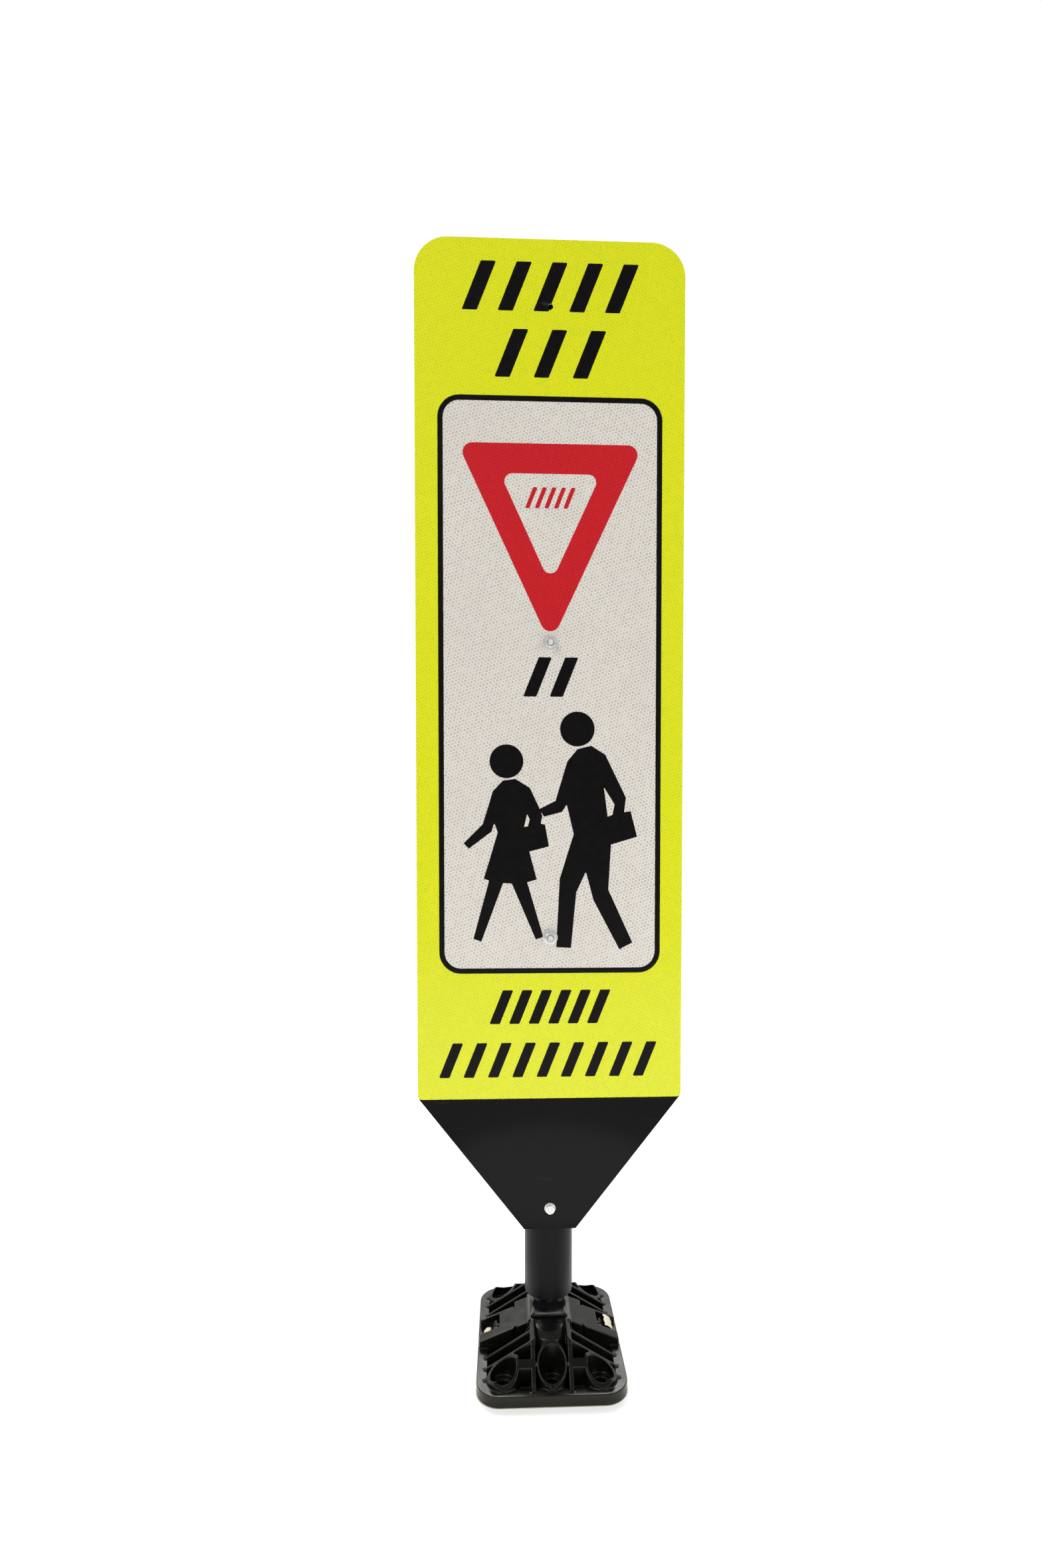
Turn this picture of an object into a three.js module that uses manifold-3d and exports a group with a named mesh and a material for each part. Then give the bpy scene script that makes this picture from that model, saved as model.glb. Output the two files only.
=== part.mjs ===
// In-street crossing sign: a flat panel bolted to a round post, standing on a
// ribbed road base through a short flexible hinge that two T-pins lock in place.
// Units are millimetres, +Z is up, the sign faces -Y, and the origin lies on the
// road surface under the middle of the base.

import * as THREE from 'three';
import { mergeVertices } from 'three/addons/utils/BufferGeometryUtils.js';
import Module from 'manifold-3d';

const wasm = await Module();
wasm.setup();

// ---------------------------------------------------------------- dimensions

const GAP = 0.3;                 // clearance between touching pieces
const LAP = 1;                   // how far joined and cutting shapes run past a face
const ROUND_SIDES = 48;          // sides of a large round section
const SMALL_SIDES = 24;          // sides of a fastener or pin
const WASHER_SIDES = 36;
const NECK_SEGMENTS = 6;         // steps round each corner of the neck

// road base
const BASE_WIDTH = 169;          // along X
const BASE_DEPTH = 195;          // along Y
const BASE_CORNER = 27;
const LINER_THICK = 0.4;
const LINER_OVERHANG = 0.6;
const BASE_BOTTOM = LINER_THICK + 0.1;
const RIM_TOP = 12.8;
const RIM_LEDGE = 12;            // width of the flat ledge inside the outer wall
const FLOOR_TOP = 6.5;           // floor of the pockets between the ribs
const PAD_TOP = 3.4;             // recess under the base that holds the pad
const PAD_INSET = 9;
const PAD_CLEAR = 3;             // how far the pad stops short of each T-pin slot

// hipped roof that all ribs and bosses are cut to
const SIDE_SLOPE = 0.6;
const END_SLOPE = 0.86;
const SIDE_RUN_START = 77.5;     // |x| where the side slope leaves the rim
const END_RUN_START = 95;        // |y| where the end slope leaves the rim
const HUB_TOP = 48;

// ribs
const RIB_THICK = 3.6;
const RIB_ROWS = [38, 55.8];     // |y| of the ribs that run along X
const SPINE_X = 21;              // |x| of the two ribs that run along Y
const SPINE_THICK = 5.4;
const FOOT_WEB_HALF = 3.4;       // half thickness of the middle boss's web to the rim
const BACK_WEB_HALF = 2.4;       // half thickness of its web to the next rib
const CORNER_WEB_HALF = 3;       // half thickness of the corner bosses' webs

// cross band that carries the hub and the T-pins
const BAND_HALF = 20.5;
const BAND_END_X = 83;
const BAND_END_TOP = 20.5;
const BAND_HUB_TOP = 45;
const BAND_HUB_X = 21;
const BAND_NOTCH_X = 40.6;
const BAND_NOTCH = 3;
const HUB_BACK = 28;             // the hub block reaches further to the rear
const HUB_WALL = 5;
const HUB_LIP = 2;               // how far the hub stands out in front of the band
const HUB_STEP = 1;              // how far its top lies under the hinge's foot

// anchor holes with a washer seat at the bottom
const ANCHOR_X = 54.5;
const ANCHOR_Y = 73;
const ANCHOR_R = 14.6;
const ANCHOR_BOLT_R = 7;
const ANCHOR_SEAT = 9;
const BOSS_WALL = 3.6;
const RING_WALL = 2.4;

// T-pins and their slots
const PIN_Y = 5;                 // the pins pass a little behind the post's centre plane
const PIN_Z = 20;
const PIN_R = 4.75;
const PIN_TIP_X = 8;
const PIN_BAR_R = 4;
const PIN_BAR_LENGTH = 20;
const SLOT_INNER_X = 59;
const SLOT_OUTER_X = 79.5;
const SLOT_FRONT = -6.5;
const SLOT_BACK = 17.5;
const SLOT_SILL = 13.5;

// socket and flexible hinge
const SOCKET_X = 20.5;
const SOCKET_Y = 17;
const SOCKET_FLOOR = 8;
const NECK_TOP = 92;
const NECK_X = 21;
const NECK_Y = 17;
const NECK_CORNER = 5;
const NECK_FOOT_X = 22;
const NECK_FOOT_TOP = 52;
const NECK_FOOT_SPREAD = 1;      // how far the neck's foot stands out in front and behind
const NECK_BOSS_HALF = 4;        // half width of the raised boss under the post
const NECK_BOSS_PROUD = 1.5;
const NECK_BOSS_DROP = 12;       // how far the boss reaches below the post
const NECK_BOSS_RISE = 10;       // and up inside it
const PLUG_TOP = 222;
const PLUG_CORE_R = 11;
const PLUG_FLOOR = 15;           // solid length under the plug's core

// post
const POST_R = 57.15 / 2;
const POST_WALL = 3.175;
const POST_BOTTOM = 73.8;
const POST_TOP = 1235;
const CAP_THICK = 3;
const CAP_SKIRT = 16;
const CAP_WALL = 3;
const CAP_BEVEL = 1;

// panel and its reflective face
const PANEL_BOTTOM = 161.5;
const PANEL_HEIGHT = 1124.5;
const TAPER_HEIGHT = 154;
const TIP_WIDTH = 60;
const PANEL_THICK = 3.2;
const FACE_WIDTH = 304.8;
const FACE_EDGE = 1.4;           // the black panel is this much narrower on each side
const FACE_THICK = 0.7;
const FACE_CORNER = 38.1;
const FACE_FOOT_CORNER = 5;
const PANEL_TOP = PANEL_BOTTOM + PANEL_HEIGHT;

// fasteners, as heights above the road
const BOLT_HEIGHTS = { upper: PANEL_TOP - 448.5, lower: PANEL_TOP - 783.5 };
const SPARE_HOLE_Z = PANEL_TOP - 74;
const SCREW_Z = PANEL_BOTTOM + 24.5;
const BOLT_R = 3.175;
const BOLT_HOLE_R = 3.6;
const BOLT_END = 3;              // thread standing out past the nut
const NUT_FLATS = 11.1;
const NUT_THICK = 5.5;
const HEAD_THICK = 4.3;
const WASHER_R = 8.7;
const WASHER_THICK = 1.5;
const SCREW_R = 2.75;
const SCREW_FLATS = 9.5;
const SCREW_FLANGE_R = 6.5;
const SCREW_FLANGE_THICK = 1.3;
const SCREW_HEX_THICK = 4;
const SCREW_REACH = 14;          // length of its shank behind the flange

// planes across Y, from the post outwards
const PANEL_BACK = -POST_R - GAP;
const PANEL_FRONT = PANEL_BACK - PANEL_THICK;
const FACE_BACK = PANEL_FRONT - GAP;
const FACE_FRONT = FACE_BACK - FACE_THICK;

// ----------------------------------------------------------------- materials

const paint = (color, roughness, metalness = 0) =>
  new THREE.MeshStandardMaterial({ color, roughness, metalness });

const materials = {
  base: () => paint(0x17161a, 0.32),
  pad: () => paint(0x0d0d0f, 0.85),
  liner: () => paint(0xd9d0b8, 0.7),
  hinge: () => paint(0x101013, 0.3),
  tube: () => paint(0x1c1b1d, 0.5),
  panel: () => paint(0x1f1d20, 0.42),
  face: () => paint(0xdbe31f, 0.45),
  pin: () => paint(0x151517, 0.4, 0.6),
  zinc: () => paint(0xb9b6ac, 0.35, 0.9),
};

// ------------------------------------------------------------- solid helpers

// A closed three.js geometry as a solid that can be joined and cut.
function solid(geometry) {
  geometry.deleteAttribute('normal');
  geometry.deleteAttribute('uv');
  const merged = mergeVertices(geometry, 1e-4);
  return new wasm.Manifold(new wasm.Mesh({
    numProp: 3,
    vertProperties: new Float32Array(merged.attributes.position.array),
    triVerts: new Uint32Array(merged.index.array),
  }));
}

// Two numbers, lowest first.
const ordered = (a, b) => [Math.min(a, b), Math.max(a, b)];

function join(...solids) {
  return solids.reduce((sum, next) => sum.add(next));
}

// A finished, named sub-part from a solid.
function piece(name, shape, material) {
  const data = shape.getMesh();
  const geometry = new THREE.BufferGeometry();
  geometry.setAttribute('position', new THREE.BufferAttribute(data.vertProperties, 3));
  geometry.setIndex(new THREE.BufferAttribute(data.triVerts, 1));
  geometry.computeVertexNormals();
  const mesh = new THREE.Mesh(geometry, material);
  mesh.name = name;
  return mesh;
}

// A box given by its lowest and highest corners.
function box(low, high) {
  const size = high.map((value, axis) => value - low[axis]);
  const geometry = new THREE.BoxGeometry(...size);
  geometry.translate(...low.map((value, axis) => value + size[axis] / 2));
  return solid(geometry);
}

// An upright cylinder, or a cone when its two radii differ.
function upright(radius, bottom, top, x = 0, y = 0, sides = ROUND_SIDES, topRadius = radius) {
  const geometry = new THREE.CylinderGeometry(topRadius, radius, top - bottom, sides);
  geometry.rotateX(Math.PI / 2);
  geometry.translate(x, y, (bottom + top) / 2);
  return solid(geometry);
}

// A cylinder along Y at height z, on the post's centre plane unless x says otherwise.
function alongY(radius, front, back, z, sides = SMALL_SIDES, x = 0) {
  const geometry = new THREE.CylinderGeometry(radius, radius, back - front, sides);
  geometry.translate(x, (front + back) / 2, z);
  return solid(geometry);
}

// A cylinder along X on the T-pins' axis.
function alongPins(radius, from, to) {
  const geometry = new THREE.CylinderGeometry(radius, radius, to - from, SMALL_SIDES);
  geometry.rotateZ(-Math.PI / 2);
  geometry.translate((from + to) / 2, PIN_Y, PIN_Z);
  return solid(geometry);
}

function hexAlongY(flats, front, back, z) {
  return alongY(flats / Math.sqrt(3), front, back, z, 6);
}

function polygon(points) {
  const shape = new THREE.Shape();
  points.forEach(([u, v], index) => (index ? shape.lineTo(u, v) : shape.moveTo(u, v)));
  shape.closePath();
  return shape;
}

function roundedRectangle(width, depth, corner) {
  const shape = new THREE.Shape();
  const x = width / 2 - corner;
  const y = depth / 2 - corner;
  shape.absarc(x, y, corner, 0, Math.PI / 2);
  shape.absarc(-x, y, corner, Math.PI / 2, Math.PI);
  shape.absarc(-x, -y, corner, Math.PI, 1.5 * Math.PI);
  shape.absarc(x, -y, corner, 1.5 * Math.PI, 2 * Math.PI);
  shape.closePath();
  return shape;
}

// A plan shape raised from one height to another.
function raised(shape, bottom, top, curveSegments = 10) {
  const geometry = new THREE.ExtrudeGeometry(shape, {
    depth: top - bottom, bevelEnabled: false, curveSegments,
  });
  geometry.translate(0, 0, bottom);
  return solid(geometry);
}

// A shape drawn in X and Z, made solid from front to back along Y.
function plateAlongY(shape, front, back, curveSegments = 12) {
  const geometry = new THREE.ExtrudeGeometry(shape, {
    depth: back - front, bevelEnabled: false, curveSegments,
  });
  geometry.rotateX(Math.PI / 2);
  geometry.translate(0, back, 0);
  return solid(geometry);
}

// A shape drawn in Y and Z, made solid along X.
function plateAlongX(shape, from, to) {
  const geometry = new THREE.ExtrudeGeometry(shape, { depth: to - from, bevelEnabled: false });
  geometry.rotateX(Math.PI / 2);
  geometry.rotateZ(Math.PI / 2);
  geometry.translate(from, 0, 0);
  return solid(geometry);
}

// ----------------------------------------------------------------- road base

// Everything above the rim stays under this hipped roof.
function roof() {
  const sideRun = SIDE_RUN_START - (HUB_TOP - RIM_TOP) / SIDE_SLOPE;
  const endRun = END_RUN_START - (HUB_TOP - RIM_TOP) / END_SLOPE;
  const profile = (half, start, run) => polygon([
    [-half, BASE_BOTTOM], [half, BASE_BOTTOM], [half, RIM_TOP], [start, RIM_TOP],
    [run, HUB_TOP], [-run, HUB_TOP], [-start, RIM_TOP], [-half, RIM_TOP],
  ]);
  const halfX = BASE_WIDTH / 2;
  const halfY = BASE_DEPTH / 2;
  const side = plateAlongY(profile(halfX, SIDE_RUN_START, sideRun), -halfY, halfY);
  const end = plateAlongX(profile(halfY, END_RUN_START, endRun), -halfX, halfX);
  return side.intersect(end);
}

function ribs() {
  const reachX = BASE_WIDTH / 2 - RIM_LEDGE / 2;
  const reachY = BASE_DEPTH / 2 - RIM_LEDGE / 2;
  const parts = [];
  for (const end of [-1, 1]) {
    for (const side of [-1, 1]) {
      const spine = side * SPINE_X;
      const [left, right] = ordered(spine, side * reachX);
      for (const row of RIB_ROWS) {
        parts.push(box([left, end * row - RIB_THICK / 2, FLOOR_TOP - LAP],
          [right, end * row + RIB_THICK / 2, HUB_TOP]));
      }
      const [near, far] = ordered(end * BAND_HALF, end * reachY);
      parts.push(box([spine - SPINE_THICK / 2, near, FLOOR_TOP - LAP],
        [spine + SPINE_THICK / 2, far, HUB_TOP]));
      parts.push(...bossWithWebs(side * ANCHOR_X, end * ANCHOR_Y, side, end));
    }
    parts.push(upright(ANCHOR_R + RING_WALL, FLOOR_TOP - LAP, HUB_TOP, 0, end * ANCHOR_Y));
    const [footNear, footFar] = ordered(end * ANCHOR_Y, end * reachY);
    parts.push(box([-FOOT_WEB_HALF, footNear, FLOOR_TOP - LAP], [FOOT_WEB_HALF, footFar, HUB_TOP]));
    const [backNear, backFar] = ordered(end * RIB_ROWS[1], end * ANCHOR_Y);
    parts.push(box([-BACK_WEB_HALF, backNear, FLOOR_TOP - LAP], [BACK_WEB_HALF, backFar, HUB_TOP]));
  }
  return join(...parts).intersect(roof());
}

// A corner anchor boss, its web to the spine rib, its foot web and its side web.
function bossWithWebs(x, y, side, end) {
  const [webNear, webFar] = ordered(side * SPINE_X, x);
  const [footNear, footFar] = ordered(y, end * (BASE_DEPTH / 2 - RIM_LEDGE / 2));
  const [sideNear, sideFar] = ordered(x, side * (BASE_WIDTH / 2 - RIM_LEDGE / 2));
  return [
    upright(ANCHOR_R + BOSS_WALL, FLOOR_TOP - LAP, HUB_TOP, x, y),
    box([webNear, y - CORNER_WEB_HALF, FLOOR_TOP - LAP], [webFar, y + CORNER_WEB_HALF, HUB_TOP]),
    box([x - CORNER_WEB_HALF, footNear, FLOOR_TOP - LAP], [x + CORNER_WEB_HALF, footFar, HUB_TOP]),
    box([sideNear, y - RIB_THICK / 2, FLOOR_TOP - LAP], [sideFar, y + RIB_THICK / 2, HUB_TOP]),
  ];
}

// The band across the base, highest at the hub and falling to both sides.
function crossBand() {
  const crest = polygon([
    [-BAND_END_X, BASE_BOTTOM], [BAND_END_X, BASE_BOTTOM], [BAND_END_X, BAND_END_TOP],
    [BAND_HUB_X, BAND_HUB_TOP], [-BAND_HUB_X, BAND_HUB_TOP], [-BAND_END_X, BAND_END_TOP],
  ]);
  let band = plateAlongY(crest, -BAND_HALF, BAND_HALF);
  for (const side of [-1, 1]) {
    for (const end of [-1, 1]) {
      const x = side * BAND_NOTCH_X;
      const y = end * BAND_HALF;
      band = band.subtract(box([x - BAND_NOTCH / 2, y - BAND_NOTCH, RIM_TOP],
        [x + BAND_NOTCH / 2, y + BAND_NOTCH, HUB_TOP]));
    }
  }
  const hubHalf = SOCKET_X + HUB_WALL;
  const hub = box([-hubHalf, -BAND_HALF - HUB_LIP, BASE_BOTTOM],
    [hubHalf, HUB_BACK, HUB_TOP - HUB_STEP]);
  const shoulder = plateAlongY(crest, 0, HUB_BACK)
    .intersect(box([-BAND_NOTCH_X, 0, BASE_BOTTOM], [BAND_NOTCH_X, HUB_BACK, HUB_TOP]));
  return join(band, hub, shoulder, buttress(-BAND_HALF - HUB_LIP), buttress(HUB_BACK));
}

// The rounded buttress in front of and behind the hub.
function buttress(y) {
  const outline = [[0, HUB_TOP - 1], [9, HUB_TOP - 1.5], [17, HUB_TOP - 4], [24, HUB_TOP - 9],
    [28, HUB_TOP - 16], [30, FLOOR_TOP], [0, FLOOR_TOP]];
  const profile = outline.map(([r, z]) => new THREE.Vector2(r, z)).reverse();
  const geometry = new THREE.LatheGeometry(profile, ROUND_SIDES);
  geometry.rotateX(Math.PI / 2);
  geometry.translate(0, y, 0);
  return solid(geometry);
}

function basePlate() {
  const outline = roundedRectangle(BASE_WIDTH, BASE_DEPTH, BASE_CORNER);
  const inner = roundedRectangle(BASE_WIDTH - 2 * RIM_LEDGE, BASE_DEPTH - 2 * RIM_LEDGE,
    BASE_CORNER - RIM_LEDGE);
  const tray = raised(outline, BASE_BOTTOM, RIM_TOP).subtract(raised(inner, FLOOR_TOP, HUB_TOP));
  let plate = join(tray, ribs(), crossBand()).intersect(raised(outline, BASE_BOTTOM, HUB_TOP));
  plate = plate.subtract(padShape(BASE_BOTTOM - LAP, PAD_TOP, GAP));
  for (const end of [-1, 1]) {
    for (const side of [-1, 0, 1]) {
      const x = side * ANCHOR_X;
      const y = end * ANCHOR_Y;
      plate = plate.subtract(upright(ANCHOR_R, ANCHOR_SEAT, HUB_TOP + LAP, x, y));
      plate = plate.subtract(upright(ANCHOR_BOLT_R, -LAP, HUB_TOP, x, y, SMALL_SIDES));
    }
  }
  for (const side of [-1, 1]) {
    const slot = ordered(side * SLOT_INNER_X, side * SLOT_OUTER_X);
    const mouth = ordered(side * SLOT_INNER_X, side * BASE_WIDTH);
    const bore = ordered(side * (SOCKET_X - LAP), side * (SLOT_INNER_X + LAP));
    plate = plate.subtract(box([slot[0], SLOT_FRONT, -LAP], [slot[1], SLOT_BACK, HUB_TOP]));
    plate = plate.subtract(box([mouth[0], SLOT_FRONT, SLOT_SILL], [mouth[1], SLOT_BACK, HUB_TOP]));
    plate = plate.subtract(alongPins(PIN_R + GAP, bore[0], bore[1]));
  }
  return plate.subtract(box([-SOCKET_X, -SOCKET_Y, SOCKET_FLOOR],
    [SOCKET_X, SOCKET_Y, HUB_TOP + LAP]));
}

// The adhesive pad's outline: inset from the base and cut back at both T-pin slots.
function padShape(bottom, top, grow) {
  const pad = raised(roundedRectangle(BASE_WIDTH - 2 * PAD_INSET + 2 * grow,
    BASE_DEPTH - 2 * PAD_INSET + 2 * grow, BASE_CORNER - PAD_INSET + grow), bottom, top);
  const front = SLOT_FRONT - PAD_CLEAR + grow;
  const back = SLOT_BACK + PAD_CLEAR - grow;
  const inner = SLOT_INNER_X - PAD_CLEAR + grow;
  return pad
    .subtract(box([inner, front, bottom - LAP], [BASE_WIDTH, back, top + LAP]))
    .subtract(box([-BASE_WIDTH, front, bottom - LAP], [-inner, back, top + LAP]));
}

function releaseLiner() {
  return raised(roundedRectangle(BASE_WIDTH + 2 * LINER_OVERHANG, BASE_DEPTH + 2 * LINER_OVERHANG,
    BASE_CORNER + LINER_OVERHANG), 0, LINER_THICK);
}

// ----------------------------------------------------- hinge and locking pins

function tPin(side) {
  const barX = SLOT_INNER_X + GAP + PIN_BAR_R;
  const [from, to] = ordered(side * PIN_TIP_X, side * barX);
  const bar = alongY(PIN_BAR_R, PIN_Y - PIN_BAR_LENGTH / 2, PIN_Y + PIN_BAR_LENGTH / 2, PIN_Z,
    SMALL_SIDES, side * barX);
  return alongPins(PIN_R, from, to).add(bar);
}

// The rigid foot of the hinge, locked in the base's socket.
function hingeFoot() {
  const foot = box([-SOCKET_X + GAP, -SOCKET_Y + GAP, SOCKET_FLOOR + GAP],
    [SOCKET_X - GAP, SOCKET_Y - GAP, HUB_TOP]);
  return foot.subtract(alongPins(PIN_R + GAP, -SOCKET_X - LAP, SOCKET_X + LAP));
}

// The flexible neck: a spread foot on the hub, a straight column, and a raised boss on
// its front and on its back, just under the post.
function flexHinge() {
  const bottom = HUB_TOP + GAP;
  const column = raised(roundedRectangle(2 * NECK_X, 2 * NECK_Y, NECK_CORNER), bottom, NECK_TOP,
    NECK_SEGMENTS);
  const spread = raised(roundedRectangle(2 * NECK_FOOT_X, 2 * (NECK_Y + NECK_FOOT_SPREAD),
    NECK_CORNER), bottom, NECK_FOOT_TOP, NECK_SEGMENTS);
  const bosses = [-1, 1].map((end) => {
    const [near, far] = ordered(end * (NECK_Y - LAP), end * (NECK_Y + NECK_BOSS_PROUD));
    return box([-NECK_BOSS_HALF, near, POST_BOTTOM - NECK_BOSS_DROP],
      [NECK_BOSS_HALF, far, POST_BOTTOM + NECK_BOSS_RISE]);
  });
  return join(column, spread, ...bosses);
}

// The hinge's upper end, held inside the post by the lowest screw.
function hingePlug() {
  const radius = POST_R - POST_WALL - GAP;
  const plug = upright(radius, NECK_TOP + GAP, PLUG_TOP)
    .subtract(upright(PLUG_CORE_R, NECK_TOP + PLUG_FLOOR, PLUG_TOP + LAP));
  return plug.subtract(alongY(SCREW_R + GAP, -POST_R, 0, SCREW_Z));
}

// ---------------------------------------------------------------------- post

function postTube() {
  let tube = upright(POST_R, POST_BOTTOM, POST_TOP)
    .subtract(upright(POST_R - POST_WALL, POST_BOTTOM - LAP, POST_TOP + LAP));
  for (const z of [...Object.values(BOLT_HEIGHTS), SPARE_HOLE_Z]) {
    tube = tube.subtract(alongY(BOLT_HOLE_R, -POST_R - LAP, POST_R + LAP, z));
  }
  return tube.subtract(alongY(SCREW_R + GAP, -POST_R - LAP, 0, SCREW_Z));
}

function postCap() {
  const skirtTop = POST_TOP + GAP;
  const inside = POST_R - POST_WALL - GAP;
  const skirt = upright(inside, skirtTop - CAP_SKIRT, skirtTop)
    .subtract(upright(inside - CAP_WALL, skirtTop - CAP_SKIRT - LAP, skirtTop));
  return upright(POST_R, skirtTop, skirtTop + CAP_THICK, 0, 0, ROUND_SIDES, POST_R - CAP_BEVEL)
    .add(skirt);
}

// --------------------------------------------------------------------- panel

// The panel's outline: a plate with round top corners over a tapered foot.
function panelOutline(width, foot) {
  const half = width / 2;
  const corner = FACE_CORNER - (FACE_WIDTH - width) / 2;
  const shoulder = PANEL_BOTTOM + TAPER_HEIGHT;
  const top = PANEL_TOP - (FACE_WIDTH - width) / 2;
  const shape = new THREE.Shape();
  if (foot) {
    shape.moveTo(-half, shoulder);
    shape.lineTo(-TIP_WIDTH / 2, PANEL_BOTTOM);
    shape.lineTo(TIP_WIDTH / 2, PANEL_BOTTOM);
    shape.lineTo(half, shoulder);
  } else {
    const x = half - FACE_FOOT_CORNER;
    const z = shoulder + FACE_FOOT_CORNER;
    shape.absarc(-x, z, FACE_FOOT_CORNER, Math.PI, 1.5 * Math.PI);
    shape.absarc(x, z, FACE_FOOT_CORNER, 1.5 * Math.PI, 2 * Math.PI);
  }
  shape.absarc(half - corner, top - corner, corner, 0, Math.PI / 2);
  shape.absarc(-half + corner, top - corner, corner, Math.PI / 2, Math.PI);
  shape.closePath();
  return shape;
}

function boltHoles(plate, heights) {
  return heights.reduce((cut, z) => cut.subtract(alongY(BOLT_HOLE_R, FACE_FRONT - LAP, 0, z)), plate);
}

function signPanel() {
  const plate = plateAlongY(panelOutline(FACE_WIDTH - 2 * FACE_EDGE, true), PANEL_FRONT, PANEL_BACK);
  return boltHoles(plate, [...Object.values(BOLT_HEIGHTS), SPARE_HOLE_Z, SCREW_Z]);
}

function faceSheeting() {
  const face = plateAlongY(panelOutline(FACE_WIDTH, false), FACE_FRONT, FACE_BACK);
  return boltHoles(face, [...Object.values(BOLT_HEIGHTS), SPARE_HOLE_Z]);
}

// ----------------------------------------------------------------- fasteners

const FRONT_WASHER = [FACE_FRONT - GAP - WASHER_THICK, FACE_FRONT - GAP];
const NUT = [FRONT_WASHER[0] - GAP - NUT_THICK, FRONT_WASHER[0] - GAP];
const BACK_WASHER = [POST_R + GAP, POST_R + GAP + WASHER_THICK];
const BOLT_HEAD = [BACK_WASHER[1] + GAP, BACK_WASHER[1] + GAP + HEAD_THICK];

function washer([front, back], z) {
  return alongY(WASHER_R, front, back, z, WASHER_SIDES)
    .subtract(alongY(BOLT_HOLE_R, front - LAP, back + LAP, z));
}

function nut(z) {
  return hexAlongY(NUT_FLATS, ...NUT, z)
    .subtract(alongY(BOLT_R + GAP, NUT[0] - LAP, NUT[1] + LAP, z));
}

function bolt(z) {
  return alongY(BOLT_R, NUT[0] - BOLT_END, BOLT_HEAD[0] + LAP, z)
    .add(hexAlongY(NUT_FLATS, ...BOLT_HEAD, z));
}

// The washer-faced screw through the panel's foot and the post into the hinge.
function footScrew() {
  const seat = PANEL_FRONT - GAP;
  const flange = seat - SCREW_FLANGE_THICK;
  return join(alongY(SCREW_FLANGE_R, flange, seat, SCREW_Z, WASHER_SIDES),
    hexAlongY(SCREW_FLATS, flange - SCREW_HEX_THICK, flange, SCREW_Z),
    alongY(SCREW_R, seat - LAP, seat + SCREW_REACH, SCREW_Z));
}

// ------------------------------------------------------------------ assembly

const sign = new THREE.Group();

sign.add(
  piece('release_liner', releaseLiner(), materials.liner()),
  piece('butyl_pad', padShape(BASE_BOTTOM, PAD_TOP - GAP, 0), materials.pad()),
  piece('base_plate', basePlate(), materials.base()),
  piece('t_pin_left', tPin(-1), materials.pin()),
  piece('t_pin_right', tPin(1), materials.pin()),
  piece('hinge_foot', hingeFoot(), materials.hinge()),
  piece('flex_hinge', flexHinge(), materials.hinge()),
  piece('hinge_plug', hingePlug(), materials.hinge()),
  piece('post_tube', postTube(), materials.tube()),
  piece('post_cap', postCap(), materials.tube()),
  piece('sign_panel', signPanel(), materials.panel()),
  piece('face_sheeting', faceSheeting(), materials.face()),
  piece('foot_screw', footScrew(), materials.zinc()),
);

for (const [place, z] of Object.entries(BOLT_HEIGHTS)) {
  sign.add(
    piece(`panel_bolt_${place}`, bolt(z), materials.zinc()),
    piece(`panel_nut_${place}`, nut(z), materials.zinc()),
    piece(`front_washer_${place}`, washer(FRONT_WASHER, z), materials.zinc()),
    piece(`back_washer_${place}`, washer(BACK_WASHER, z), materials.zinc()),
  );
}

export default sign;
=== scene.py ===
import math
import random

import bmesh
import bpy
from mathutils import Matrix, Vector


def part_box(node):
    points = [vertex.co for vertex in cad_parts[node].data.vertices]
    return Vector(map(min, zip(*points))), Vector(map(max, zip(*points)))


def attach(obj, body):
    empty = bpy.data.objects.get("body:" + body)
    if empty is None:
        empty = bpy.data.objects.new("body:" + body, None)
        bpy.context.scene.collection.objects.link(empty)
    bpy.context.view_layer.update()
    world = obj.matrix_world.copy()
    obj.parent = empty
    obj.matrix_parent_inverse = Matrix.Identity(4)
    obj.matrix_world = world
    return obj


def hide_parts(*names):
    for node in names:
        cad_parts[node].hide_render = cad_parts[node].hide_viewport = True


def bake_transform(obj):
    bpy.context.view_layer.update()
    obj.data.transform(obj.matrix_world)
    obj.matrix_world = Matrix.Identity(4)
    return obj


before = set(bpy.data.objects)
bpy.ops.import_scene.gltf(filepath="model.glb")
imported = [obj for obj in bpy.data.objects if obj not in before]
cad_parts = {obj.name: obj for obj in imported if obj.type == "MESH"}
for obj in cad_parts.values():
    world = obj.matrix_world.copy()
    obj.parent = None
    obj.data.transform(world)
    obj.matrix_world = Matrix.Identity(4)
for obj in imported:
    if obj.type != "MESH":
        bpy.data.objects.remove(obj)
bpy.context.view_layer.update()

for start_object in ("Cube", "Light", "Camera"):
    if start_object in bpy.data.objects:
        bpy.data.objects.remove(bpy.data.objects[start_object])

# An in-street crossing sign: a reflective panel on a round post that stands in a
# ribbed road base through a flexible hinge. Lengths are metres, and +Z is up.

MM = 0.001
SEED = 11

# ------------------------------------------------------------- places, from the frame

face_low, face_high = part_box("face_sheeting")
panel_low, panel_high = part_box("sign_panel")
tube_low, tube_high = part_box("post_tube")
cap_low, cap_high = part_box("post_cap")
neck_low, neck_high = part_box("flex_hinge")
liner_low, liner_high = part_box("release_liner")

SHEET_TOP = face_high.z
SHEET_BOTTOM = face_low.z
SHEET_FRONT = face_low.y
POST_R = tube_high.x
SCREW_Z = sum(corner.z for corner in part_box("foot_screw")) / 2
BOLT_Z = {place: sum(corner.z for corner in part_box(f"panel_bolt_{place}")) / 2
          for place in ("upper", "lower")}
SPARE_HOLE_Z = SHEET_TOP - 74 * MM
HOLE_R = 3.6 * MM


# ------------------------------------------------------------------ mesh making

EDGE_ANGLE = 35


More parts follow.
